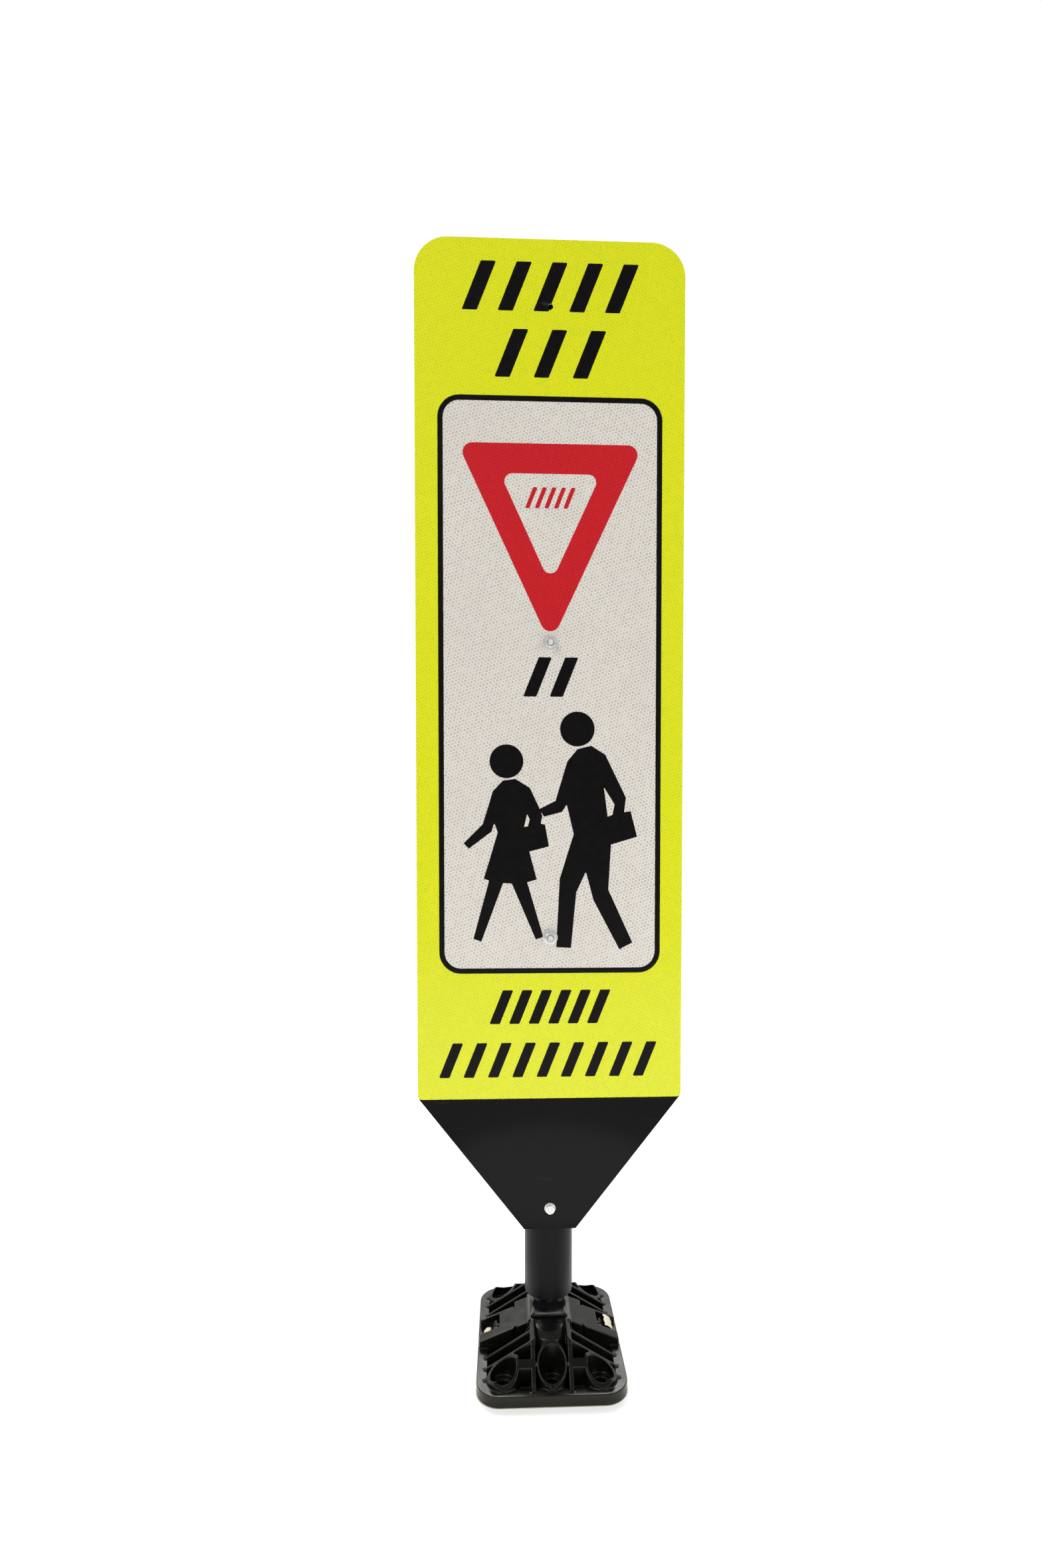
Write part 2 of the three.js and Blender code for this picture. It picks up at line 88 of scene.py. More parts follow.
def finish_mesh(name, bm, material, smooth_angle=EDGE_ANGLE):
    """A bmesh as a finished object whose flats stay flat and whose rounds are smooth."""
    bmesh.ops.recalc_face_normals(bm, faces=bm.faces)
    mesh = bpy.data.meshes.new(name)
    bm.to_mesh(mesh)
    bm.free()
    mesh.shade_smooth()
    mesh.set_sharp_from_angle(angle=math.radians(smooth_angle))
    mesh.materials.append(material)
    piece = bpy.data.objects.new(name, mesh)
    bpy.context.scene.collection.objects.link(piece)
    return piece


def apply_modifiers(piece):
    """Gives the piece the mesh that its modifiers make."""
    graph = bpy.context.evaluated_depsgraph_get()
    mesh = bpy.data.meshes.new_from_object(piece.evaluated_get(graph))
    piece.modifiers.clear()
    piece.data = mesh


def cut(piece, cutter):
    """Cuts the cutter out of the piece, and removes the cutter."""
    modifier = piece.modifiers.new("cut", "BOOLEAN")
    modifier.object = cutter
    modifier.operation = "DIFFERENCE"
    modifier.solver = "EXACT"
    apply_modifiers(piece)
    bpy.data.objects.remove(cutter)


def merge(piece, *others):
    """Adds the others' closed shells to the piece's mesh."""
    bm = bmesh.new()
    bm.from_mesh(piece.data)
    for other in others:
        bm.from_mesh(other.data)
        bpy.data.objects.remove(other)
    bm.to_mesh(piece.data)
    bm.free()


def soften(piece, width, segments):
    """Rounds the piece's sharp edges, and keeps its flats looking flat."""
    bevel = piece.modifiers.new("bevel", "BEVEL")
    bevel.width = width
    bevel.segments = segments
    bevel.limit_method = "ANGLE"
    bevel.angle_limit = math.radians(EDGE_ANGLE)
    bevel.use_clamp_overlap = True
    apply_modifiers(piece)
    piece.data.set_sharp_from_angle(angle=math.radians(60))
    weighted = piece.modifiers.new("weighted", "WEIGHTED_NORMAL")
    weighted.keep_sharp = True
    weighted.weight = 100
    apply_modifiers(piece)


def rounded(points, radius, steps=8):
    """A closed outline with an arc at each corner. radius is one number, or one for each corner."""
    outline = []
    count = len(points)
    radii = radius if hasattr(radius, "__len__") else [radius] * count
    for index, corner in enumerate(points):
        here = Vector(corner)
        before = (Vector(points[index - 1]) - here).normalized()
        after = (Vector(points[(index + 1) % count]) - here).normalized()
        half = before.angle(after) / 2
        size = radii[index]
        if size <= 0:
            outline.append(here)
            continue
        centre = here + (before + after).normalized() * size / math.sin(half)
        first = here + before * size / math.tan(half) - centre
        last = here + after * size / math.tan(half) - centre
        start = math.atan2(first.y, first.x)
        turn = math.atan2(last.y, last.x) - start
        turn = (turn + math.pi) % (2 * math.pi) - math.pi
        for step in range(steps + 1):
            angle = start + turn * step / steps
            outline.append(centre + size * Vector((math.cos(angle), math.sin(angle))))
    return outline


def circle(x, z, radius, steps=48):
    turns = [2 * math.pi * step / steps for step in range(steps)]
    return [Vector((x + radius * math.cos(t), z + radius * math.sin(t))) for t in turns]


def ragged(outline, step, depth, rng):
    """The outline with a point every step or so, each moved a little at random, as cut film is."""
    result = []
    for index, start in enumerate(outline):
        end = outline[(index + 1) % len(outline)]
        parts = max(1, round((end - start).length / step))
        for part in range(parts):
            point = start.lerp(end, part / parts)
            result.append(point + Vector((rng.uniform(-depth, depth), rng.uniform(-depth, depth))))
    return result


def prism(name, outlines, front, back, material):
    """A closed plate in X and Z between two places along Y: its edge's outline, then its holes'."""
    bm = bmesh.new()
    edges = []
    for outline in outlines:
        corners = [bm.verts.new((point[0], back, point[1])) for point in outline]
        edges += [bm.edges.new((corners[i - 1], corners[i])) for i in range(len(corners))]
    bmesh.ops.triangle_fill(bm, edges=edges, use_beauty=True, use_dissolve=False)
    grown = bmesh.ops.extrude_face_region(bm, geom=bm.faces[:])
    moved = [item for item in grown["geom"] if isinstance(item, bmesh.types.BMVert)]
    bmesh.ops.translate(bm, verts=moved, vec=(0, front - back, 0))
    return finish_mesh(name, bm, material)


def lathe(name, profile, material, sides, axis="Z", place=(0, 0, 0), smooth_angle=EDGE_ANGLE):
    """A body turned from a profile of (radius, along) points.

    It is solid where the profile starts and ends at radius 0, and otherwise a ring."""
    bm = bmesh.new()
    rings = []
    for radius, along in profile:
        if radius == 0:
            rings.append([bm.verts.new((0, 0, along))] * sides)
            continue
        rings.append([bm.verts.new((radius * math.cos(2 * math.pi * s / sides),
                                    radius * math.sin(2 * math.pi * s / sides), along))
                      for s in range(sides)])
    closed = profile[0][0] > 0
    pairs = range(len(rings)) if closed else range(len(rings) - 1)
    for index in pairs:
        low, high = rings[index], rings[(index + 1) % len(rings)]
        for s in range(sides):
            t = (s + 1) % sides
            corners = []
            for vert in (low[s], low[t], high[t], high[s]):
                if vert not in corners:
                    corners.append(vert)
            if len(corners) > 2:
                bm.faces.new(corners)
    turn = {"X": Matrix.Rotation(math.pi / 2, 4, "Y"), "Y": Matrix.Rotation(math.pi / 2, 4, "X"),
            "Z": Matrix.Identity(4)}[axis]
    bm.transform(Matrix.Translation(place) @ turn)
    return finish_mesh(name, bm, material, smooth_angle)


def edge_round(radius, along, size, towards_r, towards_a):
    """Profile points of a small quarter round at a corner, from the along side to the radius side."""
    steps = 4
    points = []
    for step in range(steps + 1):
        angle = math.pi / 2 * step / steps
        points.append((radius + towards_r * size * (1 - math.sin(angle)),
                       along + towards_a * size * (1 - math.cos(angle))))
    return points


# -------------------------------------------------------------------- materials

class Paint:
    """One procedural material while it is being built."""

    def __init__(self, name):
        self.material = bpy.data.materials.new(name)
        self.material.use_nodes = True
        self.tree = self.material.node_tree
        self.shader = self.tree.nodes["Principled BSDF"]
        self.place = self.add("TexCoord").outputs["Object"]

    def add(self, kind, **settings):
        node = self.tree.nodes.new("ShaderNode" + kind)
        for key, value in settings.items():
            setattr(node, key, value)
        return node

    def feed(self, socket, value):
        if isinstance(value, bpy.types.NodeSocket):
            self.tree.links.new(value, socket)
        else:
            socket.default_value = value

    def calc(self, operation, *values):
        node = self.add("Math", operation=operation)
        for socket, value in zip(node.inputs, values):
            self.feed(socket, value)
        return node.outputs[0]

    def vector(self, operation, *values):
        node = self.add("VectorMath", operation=operation)
        for socket, value in zip(node.inputs, values):
            self.feed(socket, value)
        return node.outputs["Value" if operation == "LENGTH" else "Vector"]

    def ramp(self, value, start, end, low=0.0, high=1.0):
        node = self.add("MapRange", interpolation_type="SMOOTHSTEP")
        for name, number in (("Value", value), ("From Min", start), ("From Max", end),
                             ("To Min", low), ("To Max", high)):
            self.feed(node.inputs[name], number)
        return node.outputs["Result"]

    def stretched(self, scale):
        node = self.add("Mapping")
        self.feed(node.inputs["Vector"], self.place)
        node.inputs["Scale"].default_value = scale
        return node.outputs["Vector"]

    def noise(self, scale, detail=3.0, roughness=0.5, place=None):
        node = self.add("TexNoise")
        self.feed(node.inputs["Vector"], self.place if place is None else place)
        node.inputs["Scale"].default_value = scale
        node.inputs["Detail"].default_value = detail
        node.inputs["Roughness"].default_value = roughness
        return node.outputs["Fac"]

    def mix(self, share, low, high):
        node = self.add("Mix", data_type="RGBA")
        self.feed(node.inputs["Factor"], share)
        self.feed(node.inputs[6], low)
        self.feed(node.inputs[7], high)
        return node.outputs[2]

    def set(self, **values):
        for key, value in values.items():
            self.feed(self.shader.inputs[key.replace("_", " ")], value)

    def bump(self, height, strength, distance):
        node = self.add("Bump")
        node.inputs["Strength"].default_value = strength
        node.inputs["Distance"].default_value = distance
        self.feed(node.inputs["Height"], height)
        self.feed(self.shader.inputs["Normal"], node.outputs["Normal"])
        return self


def rgb(red, green, blue):
    """A colour given in display numbers from 0 to 255, as the linear colour that shaders take."""
    linear = [(v / 255 / 12.92) if v <= 10 else ((v / 255 + 0.055) / 1.055) ** 2.4
              for v in (red, green, blue)]
    return (*linear, 1.0)


def moulded_plastic():
    """Glossy black plastic with fine grain, and patches that are duller and a little paler."""
    paint = Paint("moulded_plastic")
    patches = paint.noise(45, 4)
    grain = paint.noise(1400, 2)
    paint.set(Base_Color=paint.mix(paint.ramp(patches, 0.4, 0.75), rgb(14, 14, 13), rgb(23, 22, 20)),
              Roughness=paint.ramp(paint.calc("ADD", patches, paint.calc("MULTIPLY", grain, 0.25)),
                                   0.35, 0.95, 0.17, 0.36))
    paint.shader.inputs["Specular IOR Level"].default_value = 0.32
    paint.shader.inputs["Specular Tint"].default_value = (1.0, 0.98, 0.86, 1.0)
    return paint.bump(paint.calc("ADD", grain, patches), 0.05, 0.0001).material


def cast_urethane():
    """The hinge: very glossy black, slightly soft, with flow lines along its height."""
    paint = Paint("cast_urethane")
    flow = paint.noise(60, 3, 0.5, paint.stretched((1, 1, 0.25)))
    paint.set(Base_Color=paint.mix(flow, rgb(13, 12, 14), rgb(24, 23, 26)),
              Roughness=paint.ramp(flow, 0.3, 0.8, 0.1, 0.24))
    paint.shader.inputs["Coat Weight"].default_value = 0.4
    paint.shader.inputs["Coat Roughness"].default_value = 0.08
    return paint.bump(flow, 0.12, 0.0006).material


def tube_plastic():
    """Satin black extrusion: fine lines along the post over soft blotches."""
    paint = Paint("tube_plastic")
    lines = paint.noise(900, 2, 0.6, paint.stretched((1, 1, 0.004)))
    blotches = paint.noise(14, 4)
    paint.set(Base_Color=paint.mix(blotches, rgb(11, 10, 11), rgb(18, 17, 18)),
              Roughness=paint.ramp(blotches, 0.3, 0.75, 0.3, 0.42))
    paint.shader.inputs["Specular IOR Level"].default_value = 0.13
    return paint.bump(lines, 0.08, 0.0003).material


def panel_plastic():
    """Semi-gloss black sheet with a faint haze and a few hairline scuffs."""
    paint = Paint("panel_plastic")
    haze = paint.noise(9, 4)
    scuffs = paint.noise(55, 2, 0.5, paint.stretched((0.3, 1, 4.0)))
    marks = paint.ramp(scuffs, 0.69, 0.74)
    paint.set(Base_Color=paint.mix(marks, rgb(9, 8, 7), rgb(24, 23, 25)),
              Roughness=paint.ramp(paint.calc("ADD", haze, marks), 0.3, 1.2, 0.1, 0.2))
    paint.shader.inputs["Specular IOR Level"].default_value = 0.1
    return paint.bump(paint.noise(500, 3), 0.06, 0.0002).material


CELL_PITCH = 4.05 * MM
CELL_TURN = math.radians(18)


def sheeting(name, line, dot, speckle, contrast=1.0):
    """Prismatic sheeting: round cells in a tilted honeycomb of paler welds, each cell a little different,
    with a painted glint in the middle of some cells.
    """
    paint = Paint(name)
    turned = paint.add("Mapping")
    paint.feed(turned.inputs["Vector"], paint.place)
    turned.inputs["Rotation"].default_value = (0, CELL_TURN, 0)
    row = math.sqrt(3)
    half = (0.5, 0.0, 0.5)
    scaled = paint.vector("MULTIPLY", turned.outputs["Vector"],
                          (1 / CELL_PITCH, 0.0, 1 / (row * CELL_PITCH)))
    offsets = [paint.vector("SUBTRACT", paint.vector("FRACTION", scaled), half),
               paint.vector("SUBTRACT",
                            paint.vector("FRACTION", paint.vector("ADD", scaled, half)), half)]
    reach = [paint.vector("LENGTH", paint.vector("MULTIPLY", offset, (1.0, 0.0, row)))
             for offset in offsets]
    nearest = paint.calc("MINIMUM", *reach)
    first = paint.calc("LESS_THAN", *reach)
    middles = [paint.vector("SUBTRACT", scaled, offset) for offset in offsets]
    middle = paint.add("Mix", data_type="VECTOR")
    paint.feed(middle.inputs["Factor"], first)
    paint.feed(middle.inputs[4], middles[1])
    paint.feed(middle.inputs[5], middles[0])
    snapped = paint.vector("SNAP", paint.vector("ADD", middle.outputs[1], (0.1, 0.0, 0.1)),
                           (0.25, 1.0, 0.25))
    chance = paint.add("TexWhiteNoise", noise_dimensions="3D")
    paint.feed(chance.inputs["Vector"], snapped)
    luck = chance.outputs["Value"]
    disc = paint.ramp(nearest, 0.37, 0.46, contrast, 0.0)
    # Painted glint: the middle of some cells, chosen at random, is paled towards the weld colour in the base
    # colour.
    painted_glint = paint.calc("MULTIPLY", paint.ramp(nearest, 0.05, 0.24, 0.55, 0.0),
                       paint.ramp(luck, 0.45, 1.0))
    cell = paint.mix(luck, dot, speckle)
    shown = paint.mix(disc, line, cell)
    cloud = paint.ramp(paint.noise(7, 3), 0.35, 0.7, 0.0, 0.12)
    tinted = paint.mix(cloud, paint.mix(painted_glint, shown, line), dot)
    paint.set(Base_Color=tinted, Roughness=paint.ramp(nearest, 0.3, 0.5, 0.22, 0.34))
    paint.shader.inputs["Specular IOR Level"].default_value = 0.4
    paint.shader.inputs["Coat Weight"].default_value = 0.15
    paint.shader.inputs["Coat Roughness"].default_value = 0.12
    return paint.bump(paint.ramp(nearest, 0.36, 0.48), 0.12, 0.00015).material


def ink(name, base, pale):
    """Screen ink over the sheeting: dense and semi-gloss with the least mottle."""
    paint = Paint(name)
    mottle = paint.noise(160, 3)
    paint.set(Base_Color=paint.mix(mottle, base, pale), Roughness=paint.ramp(mottle, 0.3, 0.7, 0.3, 0.4))
    paint.shader.inputs["Specular IOR Level"].default_value = 0.12
    return paint.bump(paint.noise(1200, 2), 0.05, 0.0001).material


def zinc():
    """Bright zinc plating with fine grain and slightly blue and yellow patches."""
    paint = Paint("zinc")
    patches = paint.noise(220, 3)
    paint.set(Base_Color=paint.mix(patches, rgb(226, 229, 236), rgb(238, 234, 222)), Metallic=0.3,
              Roughness=paint.ramp(patches, 0.3, 0.75, 0.12, 0.26))
    paint.shader.inputs["Specular IOR Level"].default_value = 0.9
    return paint.bump(paint.noise(2600, 2), 0.08, 0.00008).material


def black_oxide():
    """The pins: dark steel worn a little brighter in patches."""
    paint = Paint("black_oxide")
    wear = paint.noise(180, 4)
    paint.set(Base_Color=paint.mix(paint.ramp(wear, 0.55, 0.75), rgb(28, 27, 28), rgb(78, 76, 74)),
              Metallic=0.7, Roughness=paint.ramp(wear, 0.3, 0.75, 0.42, 0.28))
    return paint.bump(wear, 0.12, 0.0002).material


def butyl():
    """Soft tacky pad."""
    paint = Paint("butyl")
    skin = paint.noise(300, 4)
    paint.set(Base_Color=paint.mix(skin, rgb(14, 14, 15), rgb(30, 29, 30)),
              Roughness=paint.ramp(skin, 0.3, 0.7, 0.6, 0.85))
    return paint.bump(skin, 0.4, 0.0008).material


def waxed_paper():
    """Cream release paper with fibres and faint creases."""
    paint = Paint("waxed_paper")
    fibres = paint.noise(700, 5, 0.7)
    creases = paint.noise(24, 3)
    paint.set(Base_Color=paint.mix(fibres, rgb(226, 220, 200), rgb(206, 196, 170)),
              Roughness=paint.ramp(creases, 0.3, 0.7, 0.45, 0.65))
    return paint.bump(paint.calc("ADD", fibres, creases), 0.2, 0.0003).material


def floor_paint():
    """The studio floor: even and pale."""
    paint = Paint("floor_paint")
    soft = paint.noise(2, 2)
    paint.set(Base_Color=paint.mix(soft, rgb(238, 238, 238), rgb(243, 243, 243)), Roughness=0.9)
    paint.shader.inputs["Emission Color"].default_value = (1, 1, 1, 1)
    paint.shader.inputs["Emission Strength"].default_value = 0.32
    return paint.material


PLASTIC = moulded_plastic()
URETHANE = cast_urethane()
TUBE = tube_plastic()
PANEL = panel_plastic()
YELLOW = sheeting("lime_sheeting", rgb(238, 240, 24), rgb(216, 226, 34), rgb(228, 233, 30))
WHITE = sheeting("white_sheeting", rgb(243, 241, 229), rgb(203, 195, 188), rgb(219, 211, 203))
RED = sheeting("red_sheeting", rgb(212, 30, 38), rgb(186, 28, 38), rgb(200, 32, 40), 0.7)
BLACK_INK = ink("black_ink", rgb(14, 12, 13), rgb(18, 16, 17))
ZINC = zinc()
OXIDE = black_oxide()
BUTYL = butyl()
PAPER = waxed_paper()


# --------------------------------------------------------------------- road base

def moulded_base():
    """The ribbed moulding with the small radii that a mould leaves on every edge and in every corner."""
    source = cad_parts["base_plate"]
    piece = bpy.data.objects.new("moulded_base", source.data.copy())
    bpy.context.scene.collection.objects.link(piece)
    remesh = piece.modifiers.new("remesh", "REMESH")
    remesh.mode = "VOXEL"
    remesh.voxel_size = 0.7 * MM
    smooth = piece.modifiers.new("smooth", "SMOOTH")
    smooth.factor = 0.5
    smooth.iterations = 4
    thin = piece.modifiers.new("thin", "DECIMATE")
    thin.ratio = 0.28
    apply_modifiers(piece)
    piece.data.shade_smooth()
    piece.data.materials.clear()
    piece.data.materials.append(PLASTIC)
    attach(piece, "base")
    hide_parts("base_plate")


def locking_pin(side, name, node):
    """A T-pin: a rod with a rounded tip and a cross bar welded to it."""
    low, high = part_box(node)
    rod_r, bar_r = 4.75 * MM, 4 * MM
    z, y = (low.z + high.z) / 2, (low.y + high.y) / 2
    tip, end = (high.x, low.x) if side < 0 else (low.x, high.x)
    length = abs(end - tip)
    rod = [(0, 0), *edge_round(rod_r, 0, 1.2 * MM, -1, 1),
           (rod_r, length - bar_r), (rod_r + 0.9 * MM, length - bar_r + 0.6 * MM),
           (rod_r + 0.2 * MM, length - bar_r + 2 * MM), (0, length - bar_r + 2.5 * MM)]
    turned = [(r, side * a) for r, a in rod]
    piece = lathe(name, turned, OXIDE, 48, "X", (tip, y, z))
    half = (high.y - low.y) / 2
    bar = [(0, -half), *edge_round(bar_r, -half, 1.4 * MM, -1, 1),
           *reversed(edge_round(bar_r, half, 1.4 * MM, -1, -1)), (0, half)]
    cross = lathe("bar", bar, OXIDE, 40, "Y", (end - side * bar_r, y, z))
    merge(piece, cross)
    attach(piece, "pin_left" if side < 0 else "pin_right")
    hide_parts(node)


def paper_curl(bm, path, front, back, rng):
    """Adds a strip of the paper that stands up in a slot and curls over.

    path is across and up, and front and back are along the slot, all in millimetres."""
    columns = 14
    thickness = 0.35
    layers = []
    for lift in (0, thickness):
        rows = []
        for index, (x, z) in enumerate(path):
            end_wave = rng.uniform(0, 0.9)
            row = []
            for column in range(columns + 1):
                ripple = 0.5 * math.sin(column * 0.9 + index)
                y = front + (back - front) * column / columns + (end_wave if column in (0, columns) else 0)
                row.append(bm.verts.new(((x + lift * 0.5 + ripple) * MM, y * MM, (z + lift) * MM)))
            rows.append(row)
        layers.append(rows)
    last_row = len(path) - 1
    for row in range(last_row):
        for column in range(columns):
            for rows in layers:
                bm.faces.new((rows[row][column], rows[row][column + 1], rows[row + 1][column + 1],
                              rows[row + 1][column]))
    low, high = layers
    for row in range(last_row):
        for column in (0, columns):
            bm.faces.new((low[row][column], low[row + 1][column],
                          high[row + 1][column], high[row][column]))
    for column in range(columns):
        for row in (0, last_row):
            bm.faces.new((low[row][column], low[row][column + 1],
                          high[row][column + 1], high[row][column]))


def liner_sheet():
    """The release paper, cut slightly larger than the base."""
    rng = random.Random(SEED)
    half = (liner_high - liner_low) / 2
    corners = [(-half.x, -half.y), (half.x, -half.y), (half.x, half.y), (-half.x, half.y)]
    outline = ragged(rounded(corners, 27.6 * MM, 14), 5 * MM, 0.12 * MM, rng)
    piece = prism("liner_sheet", [outline], -liner_high.z, -liner_low.z, PAPER)
    piece.data.transform(Matrix.Rotation(-math.pi / 2, 4, "X"))
    bm = bmesh.new()
    bm.from_mesh(piece.data)
    right = [(77.5, 0.3), (78.6, 9), (78.2, 17), (76, 22), (72, 25), (68.6, 26)]
    left = [(-77, 0.3), (-78.4, 7), (-78.8, 14), (-77.6, 19), (-74, 22), (-69.5, 22.5)]
    paper_curl(bm, right, -4, 16, rng)
    paper_curl(bm, left, -5.8, 2, rng)
    bmesh.ops.recalc_face_normals(bm, faces=bm.faces)
    bm.to_mesh(piece.data)
    bm.free()
    piece.data.shade_smooth()
    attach(piece, "base")
    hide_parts("release_liner")


# ------------------------------------------------------------------------- hinge

NECK_SPLIT = 0.062
NECK_CORNER_STEPS = 8
NECK_SIDE_PARTS = 16


def neck_section(z):
    """Half width, half depth and corner radius of the neck: a flared foot, a waist, then straight."""
    rise = (z - neck_low.z) / (neck_high.z - neck_low.z)
    flare = max(0.0, 1 - rise / 0.14) ** 2
    waist = math.exp(-((rise - 0.22) / 0.12) ** 2)
    return (20.9 * MM + flare * 1.1 * MM - waist * 0.7 * MM,
            16.9 * MM + flare * 1.1 * MM - waist * 0.6 * MM,
            4.8 * MM)


def neck_part(name, bottom, top, steps):
    """A closed length of the neck, lofted through its sections."""
    bm = bmesh.new()
    rings = []
    for step in range(steps + 1):
        z = bottom + (top - bottom) * step / steps
        x, y, corner = neck_section(z)
        outline = rounded([(-x, -y), (x, -y), (x, y), (-x, y)], corner, NECK_CORNER_STEPS)
        dense = []
        for index, start in enumerate(outline):
            end = outline[(index + 1) % len(outline)]
            parts = NECK_SIDE_PARTS if index % (NECK_CORNER_STEPS + 1) == NECK_CORNER_STEPS else 1
            dense += [start.lerp(end, part / parts) for part in range(parts)]
        rings.append([bm.verts.new((point.x, point.y, z)) for point in dense])
    for low, high in zip(rings, rings[1:]):
        for index in range(len(low)):
            bm.faces.new((low[index - 1], low[index], high[index], high[index - 1]))
    bm.faces.new(rings[0])
    bm.faces.new(rings[-1])
    return finish_mesh(name, bm, URETHANE, 50)


def gussets(piece):
    """The relief under the post, front and back: a U-shaped boss between two slanted gussets."""
    rim = tube_low.z
    left = [(-18.5, 6), (-18.5, -1.5), (-13.2, -8.8), (-10.2, -7.6), (-8.6, 6)]
    right = [(-x, z) for x, z in left]
    shapes = [rounded([(-4, 6), (-4, -8.6), (4, -8.6), (4, 6)], [0, 3.2, 3.2, 0], 6)]
    shapes += [rounded(slanted, [0, 1.5, 1.2, 1.2, 0], 4) for slanted in (left, right)]
    dimple = [(x * MM, rim + z * MM)
              for x, z in ((-2.4, 7), (-2.4, -6), (-1.4, -7.2), (1.4, -7.2), (2.4, -6), (2.4, 7))]
    for end in (-1, 1):
        for index, shape in enumerate(shapes):
            outline = [(point[0] * MM, rim + point[1] * MM) for point in shape]
            boss = prism("boss", [outline], *sorted((end * 15.5 * MM, end * 18.1 * MM)), URETHANE)
            soften(boss, 0.5 * MM, 3)
            if index == 0:
                cutter = prism("dimple", [dimple], *sorted((end * 17.3 * MM, end * 19 * MM)), URETHANE)
                cut(boss, cutter)
            merge(piece, boss)


def hinge_neck():
    """The neck as two lengths, lower and upper. The neck bends forwards low down and sideways higher up."""
    lower = neck_part("hinge_neck_lower", neck_low.z, NECK_SPLIT, 22)
    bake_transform(lower)
    upper = neck_part("hinge_neck_upper", NECK_SPLIT, neck_high.z, 34)
    gussets(upper)
    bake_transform(upper)
    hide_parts("flex_hinge")


# -------------------------------------------------------------------------- post

TUBE_INNER_R = POST_R - 3.175 * MM
THROUGH = (-1, 1)
FRONT_ONLY = (-1, 0)


def post():
    """The tube with broken rims and its drilled holes."""
    rim = 0.5 * MM
    profile = [*edge_round(POST_R, tube_low.z, rim, -1, 1), (POST_R, tube_low.z + 40 * MM),
               (POST_R, tube_high.z - 40 * MM), *reversed(edge_round(POST_R, tube_high.z, rim, -1, -1)),
               *edge_round(TUBE_INNER_R, tube_high.z, rim, 1, -1),
               *reversed(edge_round(TUBE_INNER_R, tube_low.z, rim, 1, 1))]
    piece = lathe("round_post", profile, TUBE, 160)
    holes = [*[(z, THROUGH) for z in BOLT_Z.values()], (SPARE_HOLE_Z, THROUGH), (SCREW_Z, FRONT_ONLY)]
    length = POST_R + 1 * MM
    for z, (front, back) in holes:
        profile = [(0, front * length), (HOLE_R, front * length), (HOLE_R, back * length), (0, back * length)]
        cut(piece, lathe("drill", profile, TUBE, 32, "Y", (0, 0, z)))
    piece.data.set_sharp_from_angle(angle=math.radians(40))
    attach(piece, "post")
    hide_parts("post_tube")


def tube_cap():
    """The cap in the top of the tube: a low crown, a broken brim and a skirt inside the tube."""
    skirt = TUBE_INNER_R - 0.3 * MM
    bottom, top = cap_low.z, cap_high.z
    brim = top - 3 * MM
    profile = [(0, top), (POST_R - 6 * MM, top), (POST_R - 2.5 * MM, top - 0.2 * MM),
               (POST_R - 0.8 * MM, top - 1 * MM), (POST_R, top - 2.2 * MM), (POST_R, brim + 0.3 * MM),
               (POST_R - 0.3 * MM, brim), (skirt, brim), (skirt, bottom + 0.8 * MM),
               (skirt - 0.8 * MM, bottom), (skirt - 3 * MM, bottom), (skirt - 3 * MM, brim), (0, brim)]
    piece = lathe("tube_cap", profile, TUBE, 128)
    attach(piece, "post")
    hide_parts("post_cap")


# ------------------------------------------------------------------------- panel

def panel_outline(inset, foot):
    """The plate's outline: round top corners, and either a tapered foot or small round lower corners."""
    half = face_high.x - inset
    top = face_high.z - inset
    corner = 38.1 * MM - inset
    if foot:
        tip = 30 * MM
        points = [(-half, SHEET_BOTTOM), (-tip, panel_low.z), (tip, panel_low.z), (half, SHEET_BOTTOM),
                  (half, top), (-half, top)]
        return rounded(points, [1 * MM, 0.8 * MM, 0.8 * MM, 1 * MM, corner, corner], 24)
    points = [(-half, SHEET_BOTTOM), (half, SHEET_BOTTOM), (half, top), (-half, top)]
    return rounded(points, [5 * MM, 5 * MM, corner, corner], 24)


def panel_plate():
    """The black plate behind the sheeting."""
    holes = [circle(0, z, HOLE_R, 40) for z in (*BOLT_Z.values(), SPARE_HOLE_Z, SCREW_Z)]
    inset = face_high.x - panel_high.x
    piece = prism("panel_plate", [panel_outline(inset, True), *holes], panel_low.y, panel_high.y, PANEL)
    soften(piece, 0.35 * MM, 2)
    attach(piece, "post")
    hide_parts("sign_panel")


def torn_outline():
    """The irregular hole that something has torn through the sheeting."""
    return rounded([(x * MM, SPARE_HOLE_Z + z * MM) for x, z in
                    ((-0.6, -4.1), (3.3, -0.3), (1.9, 3.4), (-1.6, 3.2), (-3.1, 0.6))], 0.5 * MM, 3)


def lime_sheet():
    """The lime sheeting over the plate, with the irregular hole torn through it at the top."""
    rng = random.Random(SEED + 1)
    outline = ragged(panel_outline(0, False), 2 * MM, 0.1 * MM, rng)
    holes = [circle(0, z, HOLE_R, 40) for z in BOLT_Z.values()]
    piece = prism("lime_sheet", [outline, torn_outline(), *holes], face_low.y, face_high.y, YELLOW)
    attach(piece, "post")
    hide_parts("face_sheeting")


# Printed layers stand on the sheeting one film apart. Distances down are from the sheeting's top.
FILM = 0.06 * MM
FILM_GAP = 0.02 * MM


def printed(name, outlines, layer, material):
    """A printed shape as a thin film, on the given layer above the sheeting."""
    back = SHEET_FRONT - FILM_GAP - layer * (FILM + FILM_GAP)
    rng = random.Random(name)
    edges = [ragged([Vector(point) for point in outline], 1.9 * MM, 0.07 * MM, rng) for outline in outlines]
    piece = prism(name, edges, back - FILM, back, material)
    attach(piece, "post")
    return piece


def down(points):
    """Points given in millimetres across from the middle and down from the sheeting's top."""
    return [(x * MM, SHEET_TOP - d * MM) for x, d in points]


